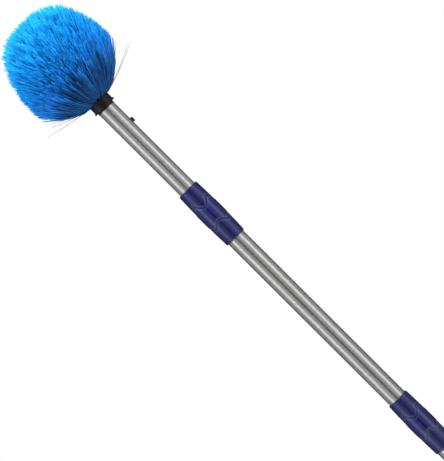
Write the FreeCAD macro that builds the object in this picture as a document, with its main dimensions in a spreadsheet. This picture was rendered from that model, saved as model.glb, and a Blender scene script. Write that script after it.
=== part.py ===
"""Cobweb brush on a three-section telescopic pole.

The pole stands along +Z with the brush head up.  The origin is the middle of the butt end.
Lengths are in millimetres and angles in degrees.
"""
import FreeCAD, Part
import math
import os
import re

import Sketcher

Vector = FreeCAD.Vector
Rotation = FreeCAD.Rotation
UP = Vector(0, 0, 1)

SIZES = (
    # pole tubes
    ("handle_tube_od", 26.0, "outside diameter of the lowest, widest tube"),
    ("tube_wall", 0.35, "steel wall of all three tubes"),
    ("tube_gap", 0.25, "radial play between two nested tubes"),
    ("handle_tube_len", 480.0, "length of the handle tube"),
    ("middle_tube_len", 475.0, "length of the middle tube"),
    ("upper_tube_len", 450.0, "length of the upper tube"),
    ("middle_tube_shown", 273.4, "bare middle tube between the two twist sleeves"),
    ("upper_tube_shown", 136.8, "bare upper tube between its sleeve and the head"),
    ("bead_rise", 0.6, "height of the rolled bead that keeps a sleeve on its tube"),
    ("bead_half", 2.0, "half the length of that bead"),
    ("tube_swage", 0.15, "how far a tube's upper end is swaged in under its sleeve"),
    ("swage_lead", 0.6, "length of the step down to the swaged end"),
    # twist sleeves
    ("sleeve_len", 81.8, "length of a twist sleeve"),
    ("sleeve_end_wall", 1.5, "sleeve end outside the handle tube's surface"),
    ("sleeve_belly", 0.95, "how far the barrel swells between its ends"),
    ("sleeve_edge", 0.9, "chamfer on the sleeve's rims"),
    ("sleeve_gap", 0.15, "radial play between a sleeve and the tube that it turns on"),
    ("lip_len", 9.0, "length of the guide lip at the sleeve's mouth"),
    ("lip_gap", 0.1, "radial play between the guide lip and the sliding tube"),
    ("seat_gap", 0.15, "play between the lip's shoulder and the tube end"),
    ("bead_up", 22.0, "bead above the sleeve's lower end"),
    ("recess_depth", 0.35, "depth of the thumb recesses"),
    ("recess_half", 12.0, "half width of a thumb recess where it runs into the next one"),
    ("recess_tip", 4.0, "radius of a recess's tip"),
    ("recess_count", 4, "thumb recesses around each end"),
    ("upper_recess_len", 31.0, "reach of a recess from the sleeve's upper end"),
    ("upper_recess_slope", 52.0, "angle that the sides of an upper recess fall away with"),
    ("lower_recess_len", 30.4, "reach of a recess from the sleeve's lower end"),
    ("lower_recess_slope", 46.0, "angle that the sides of a lower recess fall away with"),
    # cam and brake shoe inside each sleeve
    ("cam_low", 42.0, "cam pocket above the sleeve's lower end"),
    ("cam_len", 18.0, "length of the cam pocket"),
    ("cam_clear", 1.1, "cam pocket's radius beyond the tube's surface"),
    ("cam_offset", 0.25, "cam pocket's centre off the pole's axis"),
    ("cam_turn", 80.0, "turn of the sleeve from locked to free"),
    ("shoe_len", 13.6, "brake shoe's length along the pole"),
    ("shoe_width", 10.0, "brake shoe's width around the pole"),
    ("shoe_side_gap", 0.2, "play between the shoe and its window"),
    ("shoe_face_gap", 0.05, "play under and over the shoe when locked"),
    ("shoe_crown", 10.5, "radius of the shoe's outer face"),
    # guide feet on the two sliding tubes
    ("foot_rim_len", 2.5, "rim of a guide foot below its tube"),
    ("foot_plug_len", 20.0, "plug of a guide foot inside its tube"),
    ("foot_wall", 2.0, "wall of a guide foot"),
    ("foot_gap", 0.1, "play between the foot's rim and the tube around it"),
    ("plug_gap", 0.05, "play between a plug and the tube that it is pressed into"),
    # end cap
    ("cap_drop", 28.0, "end cap below the handle tube"),
    ("cap_tab_len", 20.0, "flat hanging tab below the cap's shoulder"),
    ("cap_inset", 0.1, "cap's shoulder inside the tube's surface"),
    ("cap_round", 3.0, "rounding below the cap's shoulder"),
    ("cap_plug_len", 25.0, "cap's plug inside the tube"),
    ("cap_wall", 2.0, "wall of the cap's plug"),
    ("tab_width", 19.0, "width of the hanging tab"),
    ("tab_thick", 9.0, "thickness of the hanging tab"),
    ("tab_round", 10.0, "radius of the tab's end"),
    ("hang_hole", 8.0, "diameter of the hanging hole"),
    ("hang_hole_up", 10.0, "hanging hole above the butt end"),
    # head socket
    ("spigot_len", 60.0, "spigot inside the upper tube"),
    ("spigot_gap", 0.1, "play between the spigot and the tube"),
    ("spigot_wall", 1.9, "wall of the spigot"),
    ("neck_rise", 0.3, "neck outside the tube's surface"),
    ("neck_len", 3.0, "neck between the tube's end and the flange"),
    ("flange_rise", 3.75, "flange outside the tube's surface"),
    ("flange_len", 1.8, "thickness of the flange"),
    ("cup_rise", 2.55, "cup outside the tube's surface"),
    ("cup_wall", 1.2, "wall of the cup"),
    ("cup_len", 9.2, "cup above the flange"),
    ("floor_len", 6.0, "floor between the spigot and the cup"),
    # snap button and its spring
    ("button_down", 30.7, "button below the tube's end"),
    ("button_width", 6.4, "diameter of the button"),
    ("button_gap", 0.1, "play around the button"),
    ("button_proud", 3.0, "button outside the tube's surface"),
    ("button_crown", 0.3, "height of the button's domed end"),
    ("button_flange", 8.4, "diameter of the button's inner flange"),
    ("button_flange_len", 1.2, "thickness of that flange"),
    ("button_seat_gap", 0.15, "play between the flange and the spigot's bore"),
    ("spring_width", 5.0, "width of the spring strip"),
    ("spring_thick", 0.5, "thickness of the spring strip"),
    ("spring_over", 5.0, "spring legs above the button's axis"),
    ("spring_under", 16.0, "spring bend below the button's axis"),
    ("spring_gap", 0.05, "play between the spring and what it bears on"),
    # tuft block and its screw
    ("block_gap", 0.1, "play between the block and the cup"),
    ("fan_up", 7.0, "middle of the block's dome above the cup's floor"),
    ("screw_width", 4.0, "diameter of the screw's shank"),
    ("screw_gap", 0.2, "play around the screw in the floor"),
    ("screw_grip", 0.05, "play around the screw in the block"),
    ("screw_bite", 8.0, "screw inside the block"),
    ("screw_head", 7.2, "diameter of the screw's head"),
    ("screw_head_len", 2.6, "height of the screw's head"),
    ("screw_slot", 1.0, "width of the driver slot"),
    ("screw_slot_deep", 1.2, "depth of the driver slot"),
    # bristle tufts
    ("tuft_pitch", 18.5, "angle from one ring of tufts to the next"),
    ("tuft_fill", 0.47, "half angle of a tuft as a share of that pitch"),
    ("tuft_root", 1.9, "diameter of a tuft at its root"),
    ("socket_depth", 4.5, "depth of a tuft's root in the block"),
    ("socket_gap", 0.05, "play around a tuft's root"),
    ("anchor_width", 1.3, "width of a tuft's anchor"),
    ("anchor_thick", 0.4, "thickness of a tuft's anchor"),
    ("anchor_len", 0.7, "height of a tuft's anchor"),
    ("anchor_gap", 0.05, "play above and below an anchor"),
    ("bush_low", 0.3, "lowest bristles above the cup's mouth"),
    ("bush_foot_rise", 3.0, "start of the bush outside the cup"),
    ("bush_wide", 132.8, "widest diameter of the bush"),
    ("bush_wide_up", 58.0, "widest place above the tube's end"),
    ("bush_shoulder", 106.0, "diameter at the bush's upper shoulder"),
    ("bush_shoulder_up", 124.8, "upper shoulder above the tube's end"),
    ("bush_top_up", 146.0, "top of the bush above the tube's end"),
    ("bush_crown", 12.0, "diameter of the flat middle of the bush's top"),
    ("bush_base_arc", 66.0, "radius of the bush's lower outline"),
    ("bush_side_arc", 195.0, "radius of the bush's side outline"),
    ("bush_top_arc", 54.0, "radius of the bush's upper outline"),
    # long stray filaments
    ("filament_width", 0.7, "diameter of a long filament"),
    ("filament_gap", 0.3, "filaments above the cup's mouth"),
    ("filament_arc", 104.0, "radius that a filament curves up with"),
    ("filament_sweep", 38.5, "angle of that curve"),
    ("filament_count", 8, "long filaments around the head"),
)

# how the pieces take their sizes from one another
RELATIONS = {
    "handle_r": "handle_tube_od / 2",
    "middle_r": "(handle_r - tube_wall - tube_gap)",
    "upper_r": "(middle_r - tube_wall - tube_gap)",
    "handle_neck_r": "(handle_r - tube_swage)",
    "middle_neck_r": "(middle_r - tube_swage)",
    "tube_seat": "(sleeve_len - lip_len - seat_gap)",
    "lower_sleeve_z": "(cap_drop + handle_tube_len - tube_seat)",
    "upper_sleeve_z": "(lower_sleeve_z + sleeve_len + middle_tube_shown)",
    "middle_z": "(upper_sleeve_z + tube_seat - middle_tube_len)",
    "upper_top": "(upper_sleeve_z + sleeve_len + upper_tube_shown)",
    "upper_z": "(upper_top - upper_tube_len)",
    "sleeve_end_r": "(handle_r + sleeve_end_wall)",
    "sleeve_curve": "(((sleeve_len / 2 - sleeve_edge)^2 + sleeve_belly^2) / (2 * sleeve_belly))",
    "shoe_mid": "(cam_low + cam_len / 2)",
    "cam_rest": "(90 + cam_turn / 2)",
    "spigot_r": "(upper_r - tube_wall - spigot_gap)",
    "spigot_bore": "(spigot_r - spigot_wall)",
    "cup_r": "(upper_r + cup_rise)",
    "mouth_up": "(neck_len + flange_len + cup_len)",
    "block_r": "(cup_r - cup_wall - block_gap)",
    "fan_z": "(upper_top + floor_len + fan_up)",
    "root_out": "(block_r - socket_depth)",
    "tuft_reach": "(bush_top_up + bush_wide / 2)",
    "button_r": "button_width / 2",
    "button_z": "(upper_top - button_down)",
    "button_front": "(sqrt(spigot_bore^2 - (button_flange / 2)^2) - button_seat_gap)",
    "button_back": "(button_front - button_flange_len)",
}

TUFT_RINGS = (
    ("tuft_crown", 1),
    ("tuft_ring_first", 6),
    ("tuft_ring_second", 11),
    ("tuft_ring_third", 16),
    ("tuft_ring_outer", 18),
)

doc = FreeCAD.newDocument("cobweb_brush")
sheet = doc.addObject("Spreadsheet::Sheet", "Sizes")
for row, (alias, size, meaning) in enumerate(SIZES, start=1):
    sheet.set("A%d" % row, meaning)
    sheet.set("B%d" % row, str(size))
    sheet.setAlias("B%d" % row, alias)
doc.recompute()

SIZE_NAMES = {alias for alias, size, meaning in SIZES}
WORD = re.compile(r"[a-z][a-z_]+")


def formula(text):
    """Spell out a formula's relations and point its sizes at the sheet."""

    def replace(match):
        word = match.group(0)
        if word in RELATIONS:
            return "(" + formula(RELATIONS[word]) + ")"
        return "Sizes." + word if word in SIZE_NAMES else word

    return WORD.sub(replace, text)


def number(text):
    """Present value of a formula."""
    return float(sheet.evalExpression(formula(text)))


def bind(thing, **formulas):
    """Bind properties of a document object to formulas; a double underscore stands for a dot."""
    for name, text in formulas.items():
        thing.setExpression(name.replace("__", "."), formula(text))


def new_body(name, z="0"):
    body = doc.addObject("PartDesign::Body", name)
    body.Label = name
    if z != "0":
        bind(body, Placement__Base__z=z)
    return body


def new_sketch(body, name, plane):
    sketch = body.newObject("Sketcher::SketchObject", name)
    datum = [feature for feature in body.Origin.OriginFeatures if feature.Role == plane]
    sketch.AttachmentSupport = [(datum[0], "")]
    sketch.MapMode = "FlatFace"
    return sketch


def hold(sketch, kind, ends, text):
    """Add a driving dimension to a sketch and bind it to a formula."""
    index = sketch.addConstraint(Sketcher.Constraint(kind, *ends, number(text)))
    label = "size_%d" % index
    sketch.renameConstraint(index, label)
    sketch.setExpression("Constraints." + label, formula(text))


def place_point(sketch, geometry, point, x, y):
    """Fix one point of a sketch at the formulas x and y."""
    for kind, text, axis in (("DistanceX", x, -2), ("DistanceY", y, -1)):
        if text == "0":
            sketch.addConstraint(Sketcher.Constraint("PointOnObject", geometry, point, axis))
        else:
            hold(sketch, kind, (-1, 1, geometry, point), text)


def draw_outline(sketch, corners):
    """Closed outline through corners (x, y).

    A corner (x, y, radius, turn) starts an arc to the next one, to the left for turn +1
    and to the right for turn -1.
    """
    spots = [Vector(number(corner[0]), number(corner[1]), 0) for corner in corners]
    count = len(corners)
    first_points = []
    for index, corner in enumerate(corners):
        start, end = spots[index], spots[(index + 1) % count]
        if len(corner) == 2:
            sketch.addGeometry(Part.LineSegment(start, end), False)
            first_points.append(1)
            continue
        radius, turn = number(corner[2]), corner[3]
        chord = end - start
        side = Vector(-chord.y, chord.x, 0).normalize() * turn
        centre = (start + end) * 0.5 + side * math.sqrt(radius ** 2 - chord.Length ** 2 / 4)
        ends = (start, end) if turn > 0 else (end, start)
        angles = [math.atan2(spot.y - centre.y, spot.x - centre.x) for spot in ends]
        sketch.addGeometry(Part.ArcOfCircle(Part.Circle(centre, UP, radius), *angles), False)
        first_points.append(1 if turn > 0 else 2)
    for index in range(count):
        after = (index + 1) % count
        joint = (index, 3 - first_points[index], after, first_points[after])
        sketch.addConstraint(Sketcher.Constraint("Coincident", *joint))
    for index, corner in enumerate(corners):
        place_point(sketch, index, first_points[index], corner[0], corner[1])
        if len(corner) > 2:
            hold(sketch, "Radius", (index,), corner[2])


def draw_circle(sketch, x, y, radius):
    centre = Vector(number(x), number(y), 0)
    sketch.addGeometry(Part.Circle(centre, UP, number(radius)), False)
    place_point(sketch, 0, 3, x, y)
    hold(sketch, "Radius", (0,), radius)


def turned(name, z, corners):
    """Body turned about its own Z axis from an outline of (radius, height) corners."""
    body = new_body(name, z)
    sketch = new_sketch(body, name + "_section", "XZ_Plane")
    draw_outline(sketch, corners)
    turning = body.newObject("PartDesign::Revolution", name + "_turning")
    turning.Profile = sketch
    turning.ReferenceAxis = (sketch, ["V_Axis"])
    turning.Angle = 360.0
    return body


def padded(body, name, plane, corners, length, midplane=False):
    sketch = new_sketch(body, name + "_outline", plane)
    draw_outline(sketch, corners)
    pad = body.newObject("PartDesign::Pad", name + "_pad")
    pad.Profile = sketch
    pad.SideType = "Symmetric" if midplane else "One side"
    bind(pad, Length=length)
    return pad


POCKETS = []


def pocketed(body, name, plane, draw, depth, towards_normal, lift=None, midplane=False):
    """Cut a sketched outline into a body; draw(sketch) draws it."""
    sketch = new_sketch(body, name + "_outline", plane)
    draw(sketch)
    if lift:
        bind(sketch, AttachmentOffset__Base__z=lift)
    doc.recompute()
    before = body.Shape.Volume
    pocket = body.newObject("PartDesign::Pocket", name)
    pocket.Profile = sketch
    pocket.Reversed = towards_normal
    pocket.SideType = "Symmetric" if midplane else "One side"
    bind(pocket, Length=depth)
    doc.recompute()
    POCKETS.append((name, before, body.Shape.Volume))
    return pocket


def feature(name, shape):
    """Document object for a shape that is made of copies of other objects' shapes."""
    thing = doc.addObject("Part::Feature", name)
    thing.Label = name
    thing.Shape = shape
    return thing


def around(shape, count, start=0.0):
    """Copies of a shape set evenly around the pole."""
    return [shape.rotated(Vector(), UP, start + turn * 360.0 / count) for turn in range(count)]


def sliding_tube(name, z, radius, length, neck=None):
    """Steel tube; one that carries a sleeve has a swaged upper end with a rolled bead."""
    bore = radius + " - tube_wall"
    if neck is None:
        return turned(name, z, [(bore, "0"), (radius, "0"), (radius, length), (bore, length)])
    step_low = length + " - tube_seat - swage_lead"
    step_high = length + " - tube_seat"
    bead = length + " - tube_seat + bead_up"
    curve = "(bead_half^2 + bead_rise^2) / (2 * bead_rise)"
    neck_bore = neck + " - tube_wall"
    return turned(name, z, [
        (bore, "0"), (radius, "0"), (radius, step_low), (neck, step_high),
        (neck, bead + " - bead_half", curve, 1), (neck, bead + " + bead_half"), (neck, length),
        (neck_bore, length), (neck_bore, step_high), (bore, step_low)])


def cut_shoe_window(body, name, radius, length):
    """Window in a tube's +X wall that the brake shoe works through."""
    half = "shoe_width / 2 + shoe_side_gap"
    middle = length + " - tube_seat + shoe_mid"
    low = middle + " - shoe_len / 2 - shoe_side_gap"
    high = middle + " + shoe_len / 2 + shoe_side_gap"
    corners = (("-(%s)" % half, low), (half, low), (half, high), ("-(%s)" % half, high))
    pocketed(body, name, "YZ_Plane", lambda sketch: draw_outline(sketch, corners),
             radius + " + bead_rise", True)


def cut_button_hole(body, name, height, depth):
    pocketed(body, name, "YZ_Plane",
             lambda sketch: draw_circle(sketch, "0", height, "button_r + button_gap"), depth, True)


def thumb_recesses():
    """Pointed thumb recesses of both sleeve ends, as the solids that they take away."""
    inner = "sleeve_end_r - recess_depth"
    outer = "sleeve_end_r + 2 * sleeve_belly"
    skin = turned("recess_skin", "0", [
        (inner, "sleeve_edge", "sleeve_curve", 1), (inner, "sleeve_len - sleeve_edge"),
        (inner, "sleeve_len"), (outer, "sleeve_len"), (outer, "0"), (inner, "0")])
    rings = []
    for end in ("upper", "lower"):
        slope = end + "_recess_slope"
        tangent = "recess_tip * sin(%s)" % slope
        shoulder = "(%s_recess_len - recess_tip * (1 - cos(%s)))" % (end, slope)
        side = "(%s - (recess_half - %s) * tan(%s))" % (shoulder, tangent, slope)
        corners = [
            ("-recess_half", "0"), ("recess_half", "0"), ("recess_half", side),
            (tangent, shoulder, "recess_tip", 1), ("-" + tangent, shoulder), ("-recess_half", side)]
        if end == "upper":
            corners = [
                ("recess_half", "sleeve_len"), ("-recess_half", "sleeve_len"), ("-recess_half", "sleeve_len - " + side),
                ("-" + tangent, "sleeve_len - " + shoulder, "recess_tip", 1), (tangent, "sleeve_len - " + shoulder),
                ("recess_half", "sleeve_len - " + side)]
        thumb = new_body(end + "_recess_thumb")
        padded(thumb, end + "_recess_thumb", "XZ_Plane", corners, "2 * sleeve_end_r")
        recess = doc.addObject("Part::Common", end + "_recess")
        recess.Base, recess.Tool = skin, thumb
        doc.recompute()
        copies = around(recess.Shape, int(number("recess_count")))
        rings.append(copies[0].multiFuse(copies[1:]))
    return Part.makeCompound(rings)


def twist_sleeve(name, z, tube_radius, slider_radius, recesses):
    """Barrel sleeve that turns on a tube's end, guides the next tube and holds the cam."""
    bore = tube_radius + " + sleeve_gap"
    groove = bore + " + bead_rise"
    groove_low = "bead_up - bead_half - seat_gap"
    groove_high = "bead_up + bead_half + seat_gap"
    lip = slider_radius + " + lip_gap"
    shell = turned(name + "_shell", z, [
        (bore, "0"), ("sleeve_end_r - sleeve_edge", "0"),
        ("sleeve_end_r", "sleeve_edge", "sleeve_curve", 1), ("sleeve_end_r", "sleeve_len - sleeve_edge"),
        ("sleeve_end_r - sleeve_edge", "sleeve_len"), (lip, "sleeve_len"),
        (lip, "sleeve_len - lip_len"), (bore, "sleeve_len - lip_len"),
        (bore, groove_high), (groove, groove_high), (groove, groove_low), (bore, groove_low)])
    pocketed(shell, name + "_cam", "XY_Plane",
             lambda sketch: draw_circle(sketch, "cam_offset * cos(cam_rest)",
                                        "-cam_offset * sin(cam_rest)", tube_radius + " + cam_clear"),
             "cam_len", True, lift="cam_low")
    tools = feature(name + "_recesses", recesses)
    bind(tools, Placement__Base__z=z)
    sleeve = doc.addObject("Part::Cut", name)
    sleeve.Label = name
    sleeve.Base, sleeve.Tool = shell, tools
    return sleeve


def lock_shoe(name, z, tube_radius, slider_radius):
    """Brake shoe that the cam presses against the sliding tube."""
    cam = "(%s + cam_clear)" % tube_radius
    wall = "(sqrt(%s^2 - (cam_offset * sin(cam_rest))^2) + cam_offset * cos(cam_rest))" % cam
    half = "shoe_width / 2"
    inner = "(%s + shoe_face_gap)" % slider_radius
    inner_x = "sqrt(%s^2 - (%s)^2)" % (inner, half)
    outer_x = "%s - shoe_face_gap - shoe_crown + sqrt(shoe_crown^2 - (%s)^2)" % (wall, half)
    shoe = new_body(name, z + " + shoe_mid - shoe_len / 2")
    padded(shoe, name, "XY_Plane", [
        (inner_x, "-" + half), (outer_x, "-" + half, "shoe_crown", 1),
        (outer_x, half), (inner_x, half, inner, -1)], "shoe_len")
    return shoe


def guide_foot(name, z, radius):
    """Plastic foot in a sliding tube's lower end, with a rim that runs in the tube around it."""
    rim = radius + " + tube_gap - foot_gap"
    plug = "(%s - tube_wall - plug_gap)" % radius
    bore = plug + " - foot_wall"
    return turned(name, z + " - foot_rim_len", [
        (bore, "0"), (rim, "0"), (rim, "foot_rim_len"), (plug, "foot_rim_len"),
        (plug, "foot_rim_len + foot_plug_len"), (bore, "foot_rim_len + foot_plug_len")])


def end_cap():
    """Cap in the butt of the handle tube, with a flat tab to hang the brush by."""
    shoulder = "(handle_r - cap_inset)"
    plug = "(handle_r - tube_wall - plug_gap)"
    cap = turned("end_cap", "0", [
        ("0", "cap_tab_len"), (shoulder + " - cap_round", "cap_tab_len", "cap_round", 1),
        (shoulder, "cap_tab_len + cap_round"), (shoulder, "cap_drop"), (plug, "cap_drop"),
        (plug, "cap_drop + cap_plug_len"), (plug + " - cap_wall", "cap_drop + cap_plug_len"),
        (plug + " - cap_wall", "cap_drop"), ("0", "cap_drop")])
    corner = "tab_round - sqrt(tab_round^2 - (tab_width / 2)^2)"
    root = "(cap_tab_len + cap_round)"
    padded(cap, "hanging_tab", "XZ_Plane", [
        ("-tab_width / 2", corner, "tab_round", 1), ("tab_width / 2", corner),
        ("tab_width / 2", root), ("-tab_width / 2", root)], "tab_thick", midplane=True)
    pocketed(cap, "hanging_hole", "XZ_Plane",
             lambda sketch: draw_circle(sketch, "0", "hang_hole_up", "hang_hole / 2"),
             "2 * handle_tube_od", False, midplane=True)
    return cap


def head_socket():
    """Black collar: spigot in the upper tube, neck, flange and the cup for the tuft block."""
    flange_top = "spigot_len + neck_len + flange_len"
    floor_top = "spigot_len + floor_len"
    mouth = "spigot_len + mouth_up"
    neck = "upper_r + neck_rise"
    flange = "upper_r + flange_rise"
    cup_bore = "cup_r - cup_wall"
    hole = "screw_width / 2 + screw_gap"
    socket = turned("head_socket", "upper_top - spigot_len", [
        ("spigot_bore", "0"), ("spigot_r", "0"), ("spigot_r", "spigot_len"), (neck, "spigot_len"),
        (neck, "spigot_len + neck_len"), (flange, "spigot_len + neck_len"), (flange, flange_top),
        ("cup_r", flange_top), ("cup_r", mouth), (cup_bore, mouth), (cup_bore, floor_top),
        (hole, floor_top), (hole, "spigot_len"), ("spigot_bore", "spigot_len")])
    cut_button_hole(socket, "socket_button_hole", "spigot_len - button_down", "handle_tube_od")
    return socket


def block_screw():
    shank = "screw_width / 2"
    head = "screw_head / 2"
    tip = "screw_head_len + floor_len + screw_bite"
    screw = turned("block_screw", "upper_top - screw_head_len", [
        ("0", "0"), (head, "0"), (head, "screw_head_len"), (shank, "screw_head_len"),
        (shank, tip), ("0", tip)])
    half = "screw_slot / 2"
    corners = (("-screw_head", "-" + half), ("screw_head", "-" + half),
               ("screw_head", half), ("-screw_head", half))
    pocketed(screw, "driver_slot", "XY_Plane", lambda sketch: draw_outline(sketch, corners),
             "screw_slot_deep", True)
    return screw


def snap_button():
    """Spring button that keeps the head on the pole; it points along +X."""
    flange = "button_flange / 2"
    top = "(upper_r + button_proud - button_back)"
    curve = "(button_r^2 + button_crown^2) / (2 * button_crown)"
    button = turned("snap_button", "button_z", [
        ("0", "0"), (flange, "0"), (flange, "button_flange_len"), ("button_r", "button_flange_len"),
        ("button_r", top + " - button_crown", curve, 1), ("0", top)])
    button.Placement = FreeCAD.Placement(Vector(), Rotation(Vector(0, 1, 0), 90))
    bind(button, Placement__Base__x="button_back", Placement__Base__z="button_z")
    return button


def button_spring():
    """Bent strip spring between the button and the far side of the spigot's bore."""
    front = "(button_back - spring_gap)"
    back = "(sqrt(spigot_bore^2 - (spring_width / 2)^2) - spring_gap)"
    bend = "((%s + %s) * 0.53)" % (front, back)
    spring = new_body("button_spring", "button_z")
    padded(spring, "button_spring", "XZ_Plane", [
        (front, "spring_over"), (front, "-spring_under", bend, -1), ("-" + back, "-spring_under"),
        ("-" + back, "spring_over"), ("-" + back + " + spring_thick", "spring_over"),
        ("-" + back + " + spring_thick", "-spring_under", bend + " - spring_thick", 1),
        (front + " - spring_thick", "-spring_under"), (front + " - spring_thick", "spring_over")],
        "spring_width", midplane=True)
    return spring


def bush_outline():
    """Trimmed outline of the whole bristle bush, above the upper tube's end."""
    low = "mouth_up + bush_low"
    return turned("bush_outline", "upper_top", [
        ("0", low), ("cup_r + bush_foot_rise", low, "bush_base_arc", 1),
        ("bush_wide / 2", "bush_wide_up", "bush_side_arc", 1),
        ("bush_shoulder / 2", "bush_shoulder_up", "bush_top_arc", 1),
        ("bush_crown / 2", "bush_top_up"), ("0", "bush_top_up")])


def tilted_cone(name, tilt, start, root, length):
    """Cone that leaves the middle of the fan at an angle from the pole, with a tuft's taper."""
    taper = "(tuft_reach * tan(tuft_fill * tuft_pitch) - tuft_root / 2) / (tuft_reach - root_out)"
    cone = doc.addObject("Part::Cone", name)
    cone.Placement = FreeCAD.Placement(Vector(), Rotation(Vector(0, 1, 0), number(tilt)))
    bind(cone, Radius1=root, Radius2="%s + (%s) * (%s)" % (root, length, taper), Height=length,
         Placement__Base__x="(%s) * sin(%s)" % (start, tilt),
         Placement__Base__z="fan_z + (%s) * cos(%s)" % (start, tilt),
         Placement__Rotation__Angle=tilt)
    return cone


def tufts_and_block():
    """Bristle tufts in their rings, their anchors and the domed block that holds them."""
    bush = bush_outline()
    pilot = "screw_width / 2 + screw_grip"
    base = "upper_top + floor_len"
    blank = turned("block_blank", base, [
        (pilot, "0"), ("block_r", "0"), ("block_r", "fan_up", "block_r", 1), ("0", "fan_up + block_r"),
        ("0", "screw_bite + screw_grip"), (pilot, "screw_bite + screw_grip")])
    rings, sockets, anchors = [], [], []
    anchor_room = "(anchor_len + 2 * anchor_gap)"
    for ring, (name, count) in enumerate(TUFT_RINGS):
        tilt = "%d * tuft_pitch" % ring
        cone = tilted_cone(name + "_cone", tilt, "root_out", "tuft_root / 2", "tuft_reach - root_out")
        tuft = doc.addObject("Part::Common", name + "_tuft")
        tuft.Base, tuft.Tool = cone, bush
        socket = tilted_cone(name + "_socket", tilt, "root_out - " + anchor_room,
                             "tuft_root / 2 - %s * tan(tuft_fill * tuft_pitch) + socket_gap" % anchor_room,
                             "%s + 2 * socket_depth" % anchor_room)
        anchor = doc.addObject("Part::Box", name + "_anchor")
        anchor.Placement = FreeCAD.Placement(Vector(), Rotation(Vector(0, 1, 0), number(tilt)))
        seat = "(root_out - anchor_len - anchor_gap)"
        bind(anchor, Length="anchor_width", Width="anchor_thick", Height="anchor_len",
             Placement__Base__x="%s * sin(%s) - anchor_width / 2 * cos(%s)" % (seat, tilt, tilt),
             Placement__Base__y="-anchor_thick / 2",
             Placement__Base__z="fan_z + %s * cos(%s) + anchor_width / 2 * sin(%s)" % (seat, tilt, tilt),
             Placement__Rotation__Angle=tilt)
        doc.recompute()
        start = 180.0 / count if ring % 2 else 0.0
        rings.append(feature(name, Part.makeCompound(around(tuft.Shape, count, start))))
        sockets += around(socket.Shape, count, start)
        anchors += around(anchor.Shape, count, start)
    block = doc.addObject("Part::Cut", "tuft_block")
    block.Label = "tuft_block"
    block.Base, block.Tool = blank, feature("tuft_sockets", Part.makeCompound(sockets))
    return rings + [block, feature("tuft_anchors", Part.makeCompound(anchors))]


def long_filaments():
    """Stray long filaments that lie over the cup's rim and curve up beyond the bush."""
    filament = doc.addObject("Part::Torus", "filament")
    filament.Placement = FreeCAD.Placement(
        Vector(), Rotation(Vector(1, 0, 0), 90) * Rotation(UP, -90))
    bind(filament, Radius1="filament_arc", Radius2="filament_width / 2", Angle3="filament_sweep",
         Placement__Base__x="block_r",
         Placement__Base__z="upper_top + mouth_up + filament_gap + filament_width / 2 + filament_arc")
    doc.recompute()
    return feature("long_filaments",
                   Part.makeCompound(around(filament.Shape, int(number("filament_count")))))


handle_tube = sliding_tube("handle_tube", "cap_drop", "handle_r", "handle_tube_len", "handle_neck_r")
cut_shoe_window(handle_tube, "handle_tube_window", "handle_r", "handle_tube_len")
middle_tube = sliding_tube("middle_tube", "middle_z", "middle_r", "middle_tube_len", "middle_neck_r")
cut_shoe_window(middle_tube, "middle_tube_window", "middle_r", "middle_tube_len")
upper_tube = sliding_tube("upper_tube", "upper_z", "upper_r", "upper_tube_len")
cut_button_hole(upper_tube, "tube_button_hole", "upper_tube_len - button_down", "handle_tube_od")

recess_tools = thumb_recesses()
pieces = [
    handle_tube,
    middle_tube,
    upper_tube,
    twist_sleeve("lower_twist_sleeve", "lower_sleeve_z", "handle_neck_r", "middle_r", recess_tools),
    lock_shoe("lower_lock_shoe", "lower_sleeve_z", "handle_neck_r", "middle_r"),
    twist_sleeve("upper_twist_sleeve", "upper_sleeve_z", "middle_neck_r", "upper_r", recess_tools),
    lock_shoe("upper_lock_shoe", "upper_sleeve_z", "middle_neck_r", "upper_r"),
    guide_foot("middle_guide_foot", "middle_z", "middle_r"),
    guide_foot("upper_guide_foot", "upper_z", "upper_r"),
    end_cap(),
    head_socket(),
    block_screw(),
    snap_button(),
    button_spring(),
]
pieces += tufts_and_block()
pieces.append(long_filaments())
doc.recompute()

for thing in doc.Objects:
    if "Invalid" in thing.State or "Error" in thing.State:
        raise RuntimeError("%s did not build: %s" % (thing.Name, thing.State))
for name, before, after in POCKETS:
    if after > before - 1e-6:
        raise RuntimeError("%s cuts nothing" % name)
for piece in pieces:
    if piece.Shape.isNull() or not piece.Shape.isValid() or not piece.Shape.Solids:
        raise RuntimeError("%s has no sound solid" % piece.Label)

os.makedirs("parts", exist_ok=True)
for piece in pieces:
    piece.Shape.exportStep("parts/%s.step" % piece.Label)
    box = piece.Shape.BoundBox
    print("%-20s solids %2d  volume %10.1f  x %7.2f %7.2f  y %7.2f %7.2f  z %8.2f %8.2f" % (
        piece.Label, len(piece.Shape.Solids), piece.Shape.Volume,
        box.XMin, box.XMax, box.YMin, box.YMax, box.ZMin, box.ZMax))
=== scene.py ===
"""Looks of a cobweb brush on a telescopic pole, dressed around its construction model.

The pole stands along +Z with its butt end at the origin and the brush head at the top.
Lengths are in metres and angles are in radians, unless a name or a comment says otherwise.
"""
import math

import bmesh
import bpy
import numpy as np
from bpy.props import FloatProperty, FloatVectorProperty, IntProperty, PointerProperty
from mathutils import Matrix, Vector


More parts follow.
